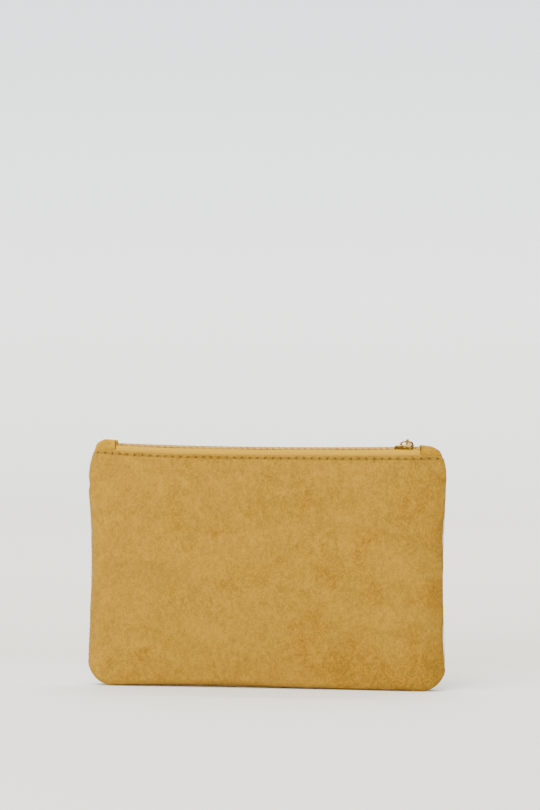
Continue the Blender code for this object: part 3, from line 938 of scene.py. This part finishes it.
def topstitch(name, side, low_x, high_x):
    """One short thread between each pair of holes, dipping into the suede at both."""
    share = np.linspace(0, 1, 15)
    arc = np.sin(math.pi * share)
    parts = []
    for hole in HOLES[:-1]:
        if hole < low_x - NEARLY or hole + STITCH_PITCH > high_x + NEARLY:
            continue
        x = hole + STITCH_PITCH * (0.06 + 0.88 * share)
        lift = STITCH_PROUD * arc**0.45 - STITCH_SINK * (np.abs(2 * share - 1)) ** 10
        z = top_edge(x) - STITCH_DROP + STITCH_SLANT * np.sin(math.pi * (share - 0.5))
        depth = wall_depth(x, z, 0.0) + lift - 0.08 * MM
        thick = STITCH_RADIUS * (0.7 + 0.3 * arc**0.5)
        parts.append(tube(xyz(waisted(x, z), side * depth, z), thick, sides=8))
    return new_piece(name, *joined(parts), THREAD)


def closing_seam():
    """The thread that laces the two walls together, crossing the groove between them at each stitch."""
    inset = SEAM_GROOVE - 0.1 * MM
    step = 0.4 * MM
    legs = []
    for side in (-1, 1):
        radius = CORNER[side]
        side_leg = [(HALF_WIDTH - inset, z) for z in np.arange(SEAM_HIGH, radius, -step)]
        angles = np.arange(0, math.pi / 2, step / radius)
        reach = radius - inset
        corner = [(HALF_WIDTH - radius + reach * math.cos(a), radius - reach * math.sin(a)) for a in angles]
        floor = [(x, inset) for x in np.arange(HALF_WIDTH - radius, 0.0, -step)]
        outline = np.array(side_leg + corner + floor)
        across = side * waisted(outline[:, 0], outline[:, 1])
        legs.append(np.stack([across, outline[:, 1]], axis=-1))
    left, right = legs
    path = np.concatenate([left, right[::-1]])
    length = np.concatenate([[0.0], np.cumsum(np.linalg.norm(np.diff(path, axis=0), axis=1))])
    zigzag = SEAM_SWING * np.tanh(3 * np.sin(2 * math.pi * length / SEAM_PITCH))
    lacing = tube(xyz(path[:, 0], zigzag, path[:, 1]), SEAM_THREAD, sides=6)
    return new_piece("seam_lacing", *lacing, THREAD)


# ---- metal ----


SLIDER_PLACE = (SLIDER_X, 0.0, float(chain_height(SLIDER_X)))
SLIDER_HALF = 9.5 * MM / 2
SLIDER_TAIL = 2.8 * MM
SLIDER_NOSE = 3.5 * MM
SLIDER_WALL = 0.65 * MM
SLIDER_CHANNEL = 1.05 * MM
SLIDER_TOP = SLIDER_CHANNEL + 0.8 * MM
SLIDER_LIP = 0.45 * MM
KEEL_TOP = 2.1 * MM
KEEL_THICK = 0.7 * MM
KEEL_HALF = 2.0 * MM
BAIL_HEIGHT = 3.5 * MM
BAIL_START = -1.6 * MM
BAIL_END = 4.2 * MM
BAIL_SQUARENESS = 0.6  # 1 would make the bail half an ellipse; less makes it squarer
LINK_X = SLIDER_X + 1.3 * MM
LINK_RADIUS = 1.05 * MM
LINK_WIRE = 0.4 * MM
LINK_LENGTH = 8.9 * MM
PULL_LENGTH = 27 * MM
PULL_HALF_TOP = 1.5 * MM
PULL_HALF_END = 2.7 * MM
PULL_HALF_THICK = 0.35 * MM
PULL_EYE = 0.6 * MM
PULL_RIM = 1.15 * MM
METAL_GRAIN = 0.11 * MM


def zip_slider():
    """Cast slider: a crowned top plate with side lips, a keel under the tapes, a wedge between them and a
    bail on top."""
    half = SLIDER_HALF
    cover = rounded(taper(half, SLIDER_TAIL, SLIDER_NOSE), 1.5 * MM)
    plate = slab(cover, -SLIDER_LIP, SLIDER_TOP - 0.1 * MM)
    ridge = rounded(taper(half - MM, 0.9 * MM, 1.3 * MM), 0.8 * MM)
    crown = slab(ridge, SLIDER_TOP - 0.2 * MM, SLIDER_TOP + 0.12 * MM)
    sole = rounded(taper(half - 0.5 * MM, KEEL_HALF, KEEL_HALF), 1.3 * MM)
    keel = slab(sole, -KEEL_TOP - KEEL_THICK, -KEEL_TOP)
    post = [(0.6 * MM, 0.0), (1.6 * MM, -0.35 * MM), (2.8 * MM, -0.5 * MM), (4.2 * MM, -0.5 * MM)]
    post += [(x, -y) for x, y in post[:0:-1]]
    wedge = slab(post, -KEEL_TOP - 0.3 * MM, SLIDER_CHANNEL + 0.3 * MM)
    share = np.linspace(0, 1, 33)
    forward, upward = np.cos(math.pi * share), np.abs(np.sin(math.pi * share))
    square_forward = np.sign(forward) * np.abs(forward) ** BAIL_SQUARENESS
    arch_x = (BAIL_START + BAIL_END) / 2 - (BAIL_END - BAIL_START) / 2 * square_forward
    floor = SLIDER_CHANNEL + 0.4 * MM
    arch_z = floor + (BAIL_HEIGHT - floor) * upward**BAIL_SQUARENESS
    arch_radius = 0.45 * MM + 0.25 * MM * np.abs(2 * share - 1) ** 6
    arch = tube(xyz(arch_x, 0.0, arch_z), arch_radius, sides=12)
    hollow = taper(half + MM, SLIDER_TAIL - SLIDER_WALL, SLIDER_NOSE - SLIDER_WALL)
    channel = slab(hollow, -MM, SLIDER_CHANNEL)
    body = cast("slider_cover", [plate, crown], [channel], GOLD, METAL_GRAIN, rounds=3)
    for vertex in body.data.vertices:
        if vertex.co.z > SLIDER_CHANNEL:
            along = abs(vertex.co.x) / half
            vertex.co.z -= (vertex.co.z - SLIDER_CHANNEL) * 0.6 * along**3
    faces = [list(face.vertices) for face in body.data.polygons]
    shape = (values_of(body.data.vertices, "co"), faces)
    bpy.data.objects.remove(body)
    slider = cast("slider_casting", [shape, keel, wedge, arch], [], GOLD, METAL_GRAIN * 0.9, rounds=3)
    slider.location = SLIDER_PLACE
    return slider


def pull_link():
    """A long closed loop of round wire."""
    around = np.linspace(0, math.pi, 18)
    near = [(0.0, -LINK_RADIUS * math.sin(a), LINK_RADIUS * math.cos(a)) for a in around]
    far = [(0.0, LINK_LENGTH + LINK_RADIUS * math.sin(a), -LINK_RADIUS * math.cos(a)) for a in around]
    link = new_piece("link_wire", *tube(near + far, LINK_WIRE, sides=14, closed=True), GOLD)
    link.location = (LINK_X, 0.0, SLIDER_PLACE[2] + BAIL_HEIGHT)
    return link


def pull_tab():
    """A flat drop-shaped pull with an eye, a raised rim and a sunken face on both sides."""

    def outline(inset, top, radius, steps):
        half_top, half_end, end = PULL_HALF_TOP - inset, PULL_HALF_END - inset, inset - PULL_LENGTH
        corners = [(-half_top, top), (-half_end, end), (half_end, end), (half_top, top)]
        return rounded(corners, radius, steps)

    blade = slab(outline(0.0, PULL_RIM, 1.4 * MM, 10), -PULL_HALF_THICK, PULL_HALF_THICK)
    sunk = outline(0.75 * MM, -3.2 * MM, 0.7 * MM, 6)
    floor = PULL_HALF_THICK - 0.14 * MM
    turns = np.linspace(0, 2 * math.pi, 28, endpoint=False)
    eye = slab([(PULL_EYE * math.cos(a), PULL_EYE * math.sin(a)) for a in turns], -MM, MM)
    cuts = [slab(sunk, floor, MM), slab(sunk, -MM, -floor), eye]
    pull = cast("pull_blade", [blade], cuts, GOLD, METAL_GRAIN, rounds=3)
    pull.rotation_euler = (math.pi / 2, 0.0, 0.0)
    pull.location = (LINK_X, LINK_LENGTH, SLIDER_PLACE[2] + BAIL_HEIGHT - LINK_RADIUS)
    return pull


STOP_LENGTH = 1.5 * MM
STOP_GAP = 0.3 * MM


def zip_stop(name, x, y, half_y):
    """A crimped stop: a bent strip with a pressed waist."""
    half = STOP_LENGTH / 2
    body = slab(rounded(taper(half, half_y, half_y), 0.35 * MM), -COIL_RADIUS, COIL_RADIUS)
    across = np.linspace(-1, 1, 9) * 2 * half_y
    dent = tube(xyz(0.0, across, COIL_RADIUS + 0.1 * MM), 0.28 * MM, sides=10)
    stop = cast(name, [body], [dent], GOLD, 0.08 * MM, rounds=4)
    stop.location = (x, y, float(chain_height(x)))
    return stop


# ---- zip ends ----


TAB_CRUMPLE = 0.09 * MM
TAB_HALF_SIZE = 4.5  # mm
# How far each layer of a tab is drawn in, in mm, and its share of the thickness
TAB_LAYERS = ((0.0, 0.45), (0.25, 0.8), (0.55, 1.0))


def end_tab(name, crest):
    """A patch of suede folded over the zip's end, its edges turned in and rounded by the fold.
    crest is the line of its top from the inner to the outer edge."""
    (inner, _), (outer, _) = crest[0], crest[-1]
    outline = rounded([(inner, TAB_LOW), *crest, (outer, TAB_LOW)], 1.0 * MM)
    middle = np.mean(outline, axis=0)
    parts = []
    for inset, half in TAB_LAYERS:
        ring = [tuple(middle + (np.array(p) - middle) * (1 - inset / TAB_HALF_SIZE)) for p in outline]
        parts.append(slab(ring, -TAB_HALF_THICK * half, TAB_HALF_THICK * half))
    tab = cast(name, parts, [], SUEDE_TAB, 0.22 * MM, rounds=5)
    co = values_of(tab.data.vertices, "co")
    outwards = np.clip((np.abs(co[:, 0]) - abs(inner)) / abs(outer - inner), 0, 1)
    co[:, 2] *= 1 + TAB_TAPER / TAB_HALF_THICK * (1 - outwards) ** 0.8
    crumple = TAB_CRUMPLE * np.sin(co[:, 0] / (1.1 * MM) + 1.7 * np.sin(co[:, 1] / (2.3 * MM)))
    co[:, 2] += crumple * np.clip(np.abs(co[:, 2]) / TAB_HALF_THICK, 0, 1)
    tab.data.vertices.foreach_set("co", co.ravel())
    tab.rotation_euler = (math.pi / 2, 0.0, 0.0)
    return tab


def tab_tacks(name, crest):
    """The bar of stitches down each face of a tab's inner edge. Their near-black thread also paints the
    shade along that edge.
    """
    inner, high = crest[0]
    side = 1 if inner > 0 else -1
    x = inner + side * TACK_INSET
    share = np.linspace(0, 1, 11)
    lift = TACK_PROUD * np.sin(math.pi * share) ** 0.5 - TACK_SINK * np.abs(2 * share - 1) ** 8
    parts = []
    for face in (FRONT, BACK):
        for i in range(TACK_COUNT):
            z = high - TACK_DROP - TACK_PITCH * (i + 0.1 + 0.8 * share)
            y = face * (TAB_HALF_THICK + 0.93 * TAB_TAPER + lift)
            parts.append(tube(xyz(x, y, z), TACK_RADIUS, sides=8))
    return new_piece(name, *joined(parts), TACK_THREAD_AND_SHADE)


# ---- putting the pouch together ----

SOFT_KINDS = {
    "suede_panel": (suede_panel, "suede"),
    "interlining": (interlining, "interlining"),
    "lining": (lining, "lining"),
    "zip_tape": (zip_tape, "zip_tape"),
    "zip_coil": (zip_coil, "nylon_coil"),
    "topstitch": (topstitch, "thread"),
}

for kind, (make, material_slot) in SOFT_KINDS.items():
    back = make(f"back_{kind}_sewn", BACK, -HALF_WIDTH, HALF_WIDTH)
    stand_for(back, f"back_{kind}", "bag")
    for word, end in (("left", -1), ("right", 1)):
        low, high = sorted((0.0, end * HALF_WIDTH))
        front = make(f"front_{kind}_{word}", FRONT, low, high)
        stand_for(front, f"front_{kind}")
        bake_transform(front)

stand_for(closing_seam(), "closing_seam_thread", "bag")
for word, crest in TAB_CRESTS.items():
    stand_for(end_tab(f"{word}_folded_tab", crest), f"{word}_end_tab", "bag")
    tacks = tab_tacks(f"{word}_tab_tacks", crest)
    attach(tacks, "bag")
stop_x = COIL_ENDS[1] + STOP_GAP + STOP_LENGTH / 2
for side, word in ((FRONT, "front"), (BACK, "back")):
    crimp = zip_stop(f"{word}_crimp", stop_x, side * float(coil_y(stop_x)), 0.75 * COIL_RADIUS)
    stand_for(crimp, f"{word}_top_stop", "bag")
end_x = COIL_ENDS[0] - STOP_GAP - STOP_LENGTH / 2
stand_for(zip_stop("end_crimp", end_x, 0.0, COIL_SPACING + COIL_RADIUS), "bottom_stop", "bag")
stand_for(zip_slider(), "zip_slider", "slider")
stand_for(pull_link(), "pull_link", "link")
stand_for(pull_tab(), "pull_tab", "pull")


# ---- studio ----


# The paper's colour from the floor up to 0.85 m, with painted shade that darkens and cools the top of the
# wall, and a painted shadow over it from the object back to 2.25 m
PAPER_SHADE_BY_HEIGHT = [
    (0.0, (0.84, 0.805, 0.715)),
    (0.06, (0.85, 0.835, 0.79)),
    (0.3, (0.96, 0.955, 0.915)),
    (0.85, (0.76, 0.795, 0.82)),
]
PAPER_SHADOW_BEHIND = [(0.01, 1.0), (0.06, (0.885, 0.88, 0.85)), (0.5, (0.885, 0.88, 0.85)), (0.9, 1.0)]


def backdrop():
    """A seamless pale bowl: a flat floor that turns up into a wall all round."""
    floor_reach, bend, wall_height = 2.0, 1.5, 4.5
    profile = [(0.0, 0.0), (0.6, 0.0), (1.3, 0.0)]
    for i in range(25):
        angle = math.pi / 2 * i / 24
        profile.append((floor_reach + bend * math.sin(angle), bend * (1 - math.cos(angle))))
    profile.append((floor_reach + bend, wall_height))
    sides = 96
    points, faces = [(0.0, 0.0, 0.0)], []
    for reach, height in profile[1:]:
        for k in range(sides):
            angle = 2 * math.pi * k / sides
            points.append((reach * math.cos(angle), reach * math.sin(angle), height))
    for k in range(sides):
        faces.append((0, 1 + k, 1 + (k + 1) % sides))
        for ring in range(len(profile) - 2):
            low, high = 1 + ring * sides, 1 + (ring + 1) * sides
            after = (k + 1) % sides
            faces.append((low + k, high + k, high + after, low + after))
    made, tree, shader = new_material("paper")
    where = own_place(tree)
    place = split(tree, where)
    # painted shade: the wall darkens and cools towards its top and is lightest low on the wall
    paper = ramp(tree, place["Z"], PAPER_SHADE_BY_HEIGHT)
    # painted shadow on the floor behind the object
    behind = ramp(tree, maths(tree, "MULTIPLY", place["Y"], 0.4), PAPER_SHADOW_BEHIND)
    grain = bump(tree, noise(tree, where, 900.0, 3.0, 0.6), 0.06, 0.1 * MM)
    settle(shader, Base_Color=mix(tree, 1.0, paper, behind, "MULTIPLY"), Roughness=0.85, Normal=grain)
    bowl = new_piece("backdrop", points, faces, made)
    bowl.data.flip_normals()


def area_light(name, place, aim, width, height, power, colour):
    data = bpy.data.lights.new(name, "AREA")
    settle(data, shape="RECTANGLE", size=width, size_y=height, energy=power, color=colour)
    lamp = in_scene(name, data)
    lamp.location = place
    lamp.rotation_euler = (Vector(aim) - Vector(place)).to_track_quat("-Z", "Y").to_euler()


CAMERA_DISTANCE = 1.4
CAMERA_TURN = math.radians(7.0)  # the pouch's right side stands a little nearer
CAMERA_HEIGHT = 0.1413
CAMERA_ROLL = math.radians(0.4)
CAMERA_ASIDE = 1.5 * MM
VIEW_HEIGHT = 0.403
SENSOR_WIDTH = 36.0


def camera():
    data = bpy.data.cameras.new("camera")
    lens = SENSOR_WIDTH * CAMERA_DISTANCE / VIEW_HEIGHT
    settle(data, sensor_width=SENSOR_WIDTH, lens=lens, clip_start=0.05)
    eye = in_scene("camera", data)
    reach = CAMERA_DISTANCE + FOOT_DEPTH
    sideways, forward = math.sin(CAMERA_TURN), math.cos(CAMERA_TURN)
    eye.location = (CAMERA_ASIDE + reach * sideways, -reach * forward, CAMERA_HEIGHT)
    eye.rotation_euler = (math.pi / 2, -CAMERA_ROLL, CAMERA_TURN)
    bpy.context.scene.camera = eye


def studio():
    backdrop()
    middle = (0.0, 0.0, 0.06)
    area_light("key", (-0.5, -1.0, 2.1), middle, 1.8, 1.4, 67.0, (1.0, 0.985, 0.96))
    area_light("front_fill", (-0.6, -2.0, 0.7), middle, 1.2, 0.9, 46.0, (1.0, 0.99, 0.98))
    area_light("back_glow", (0.4, 1.4, 2.2), middle, 2.4, 1.4, 18.0, (0.96, 0.98, 1.0))
    area_light("wall_wash", (0.0, 0.7, 1.9), (0.0, 3.2, 0.45), 2.6, 0.8, 84.0, (0.97, 0.985, 1.0))
    world = bpy.data.worlds.new("studio_air")
    world.use_nodes = True
    air = world.node_tree.nodes["Background"]
    settle(air, Color=(0.93, 0.96, 1.0, 1.0), Strength=1.2)
    bpy.context.scene.world = world
    camera()


studio()
